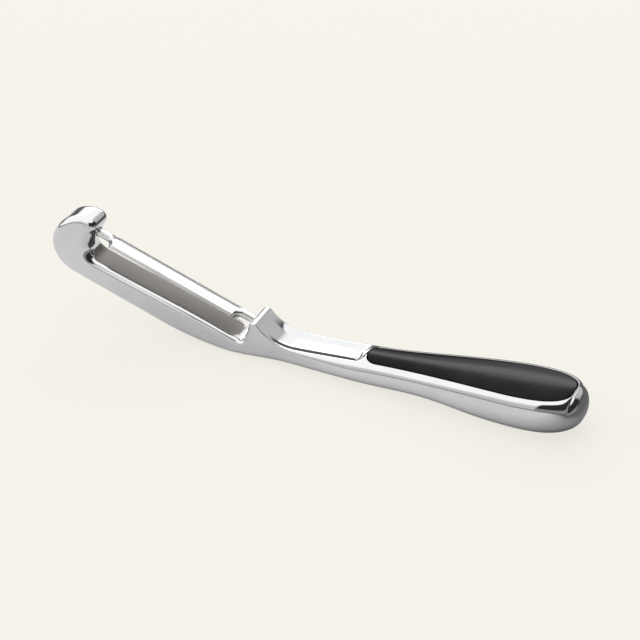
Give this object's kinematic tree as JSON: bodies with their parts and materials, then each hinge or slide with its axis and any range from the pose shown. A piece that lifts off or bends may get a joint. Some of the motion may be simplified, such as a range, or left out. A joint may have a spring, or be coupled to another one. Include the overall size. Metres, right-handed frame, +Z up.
{
  "type": "swivel vegetable peeler",
  "caption": "Mirror-plated swivel vegetable peeler with a hooked head, a slotted straight blade on rolled tongues, and a teardrop handle with a black soft-touch grip inlay.",
  "frame": {"origin": "on the surface that the peeler lies on, under the middle of its length", "axes": "+X from the head to the butt of the handle, +Z up through the grip's top, the XZ plane is the plane of symmetry of the frame"},
  "size_m": [0.1998, 0.0266, 0.0403],
  "materials": {
    "plated_casting": "mirror",
    "soft_grip": "satin",
    "blade_steel": "satin"
  },
  "bodies": {
    "frame": {"cast_frame": "plated_casting", "grip_inlay": "soft_grip"},
    "blade": {"swivel_blade": "blade_steel"}
  },
  "joints": [
    {"name": "blade_swivel", "type": "hinge", "parent": "frame", "child": "blade", "pos_m": [-0.02234, 0, 0.0123], "axis": [0.9455, 0, -0.3256], "continuous": true}
  ]
}
